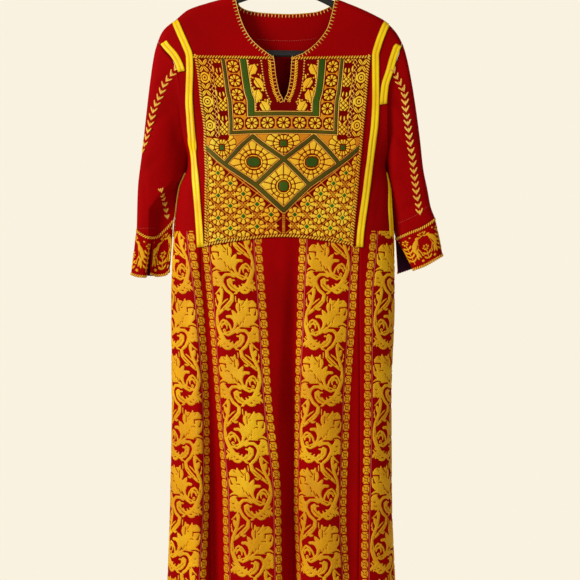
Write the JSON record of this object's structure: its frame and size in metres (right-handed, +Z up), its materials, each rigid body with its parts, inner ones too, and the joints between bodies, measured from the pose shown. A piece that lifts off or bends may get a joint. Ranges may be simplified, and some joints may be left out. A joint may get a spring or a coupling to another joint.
{
  "type": "embroidered thobe dress on a hanger",
  "caption": "Long crimson thobe dress with an embroidered chest panel, yellow seam ribbons, cuffed sleeves and a full skirt, hanging flat from a black hanger.",
  "frame": {"origin": "inside top of the hanger's hook, where it rests on a rail or a wall hook", "axes": "+Z up along the dress, front of the dress faces -Y, +X to the right of someone looking at the front"},
  "size_m": [0.5926, 0.1557, 1.4875],
  "materials": {
    "crimson_cotton": "plain woven cotton, matt",
    "embroidered_panel": "cloth covered in gold thread",
    "yellow_satin": "satin ribbon",
    "black_plastic": "smooth black",
    "chrome_hook": "bright metal wire"
  },
  "bodies": {
    "root": {"centre_front": "crimson_cotton", "centre_back": "crimson_cotton", "side_front_left": "crimson_cotton", "side_front_right": "crimson_cotton", "side_back_left": "crimson_cotton", "side_back_right": "crimson_cotton", "sleeve_left": "crimson_cotton", "sleeve_right": "crimson_cotton", "cuff_left": "crimson_cotton", "cuff_right": "crimson_cotton", "chest_panel": "embroidered_panel", "seam_ribbon_front_left": "yellow_satin", "seam_ribbon_front_right": "yellow_satin", "seam_ribbon_back_left": "yellow_satin", "seam_ribbon_back_right": "yellow_satin", "armhole_ribbon_front_left": "yellow_satin", "armhole_ribbon_front_right": "yellow_satin", "armhole_ribbon_back_left": "yellow_satin", "armhole_ribbon_back_right": "yellow_satin", "side_ribbon_left": "yellow_satin", "side_ribbon_right": "yellow_satin", "hanger_frame": "black_plastic", "hanger_hook": "chrome_hook"}
  },
  "joints": []
}
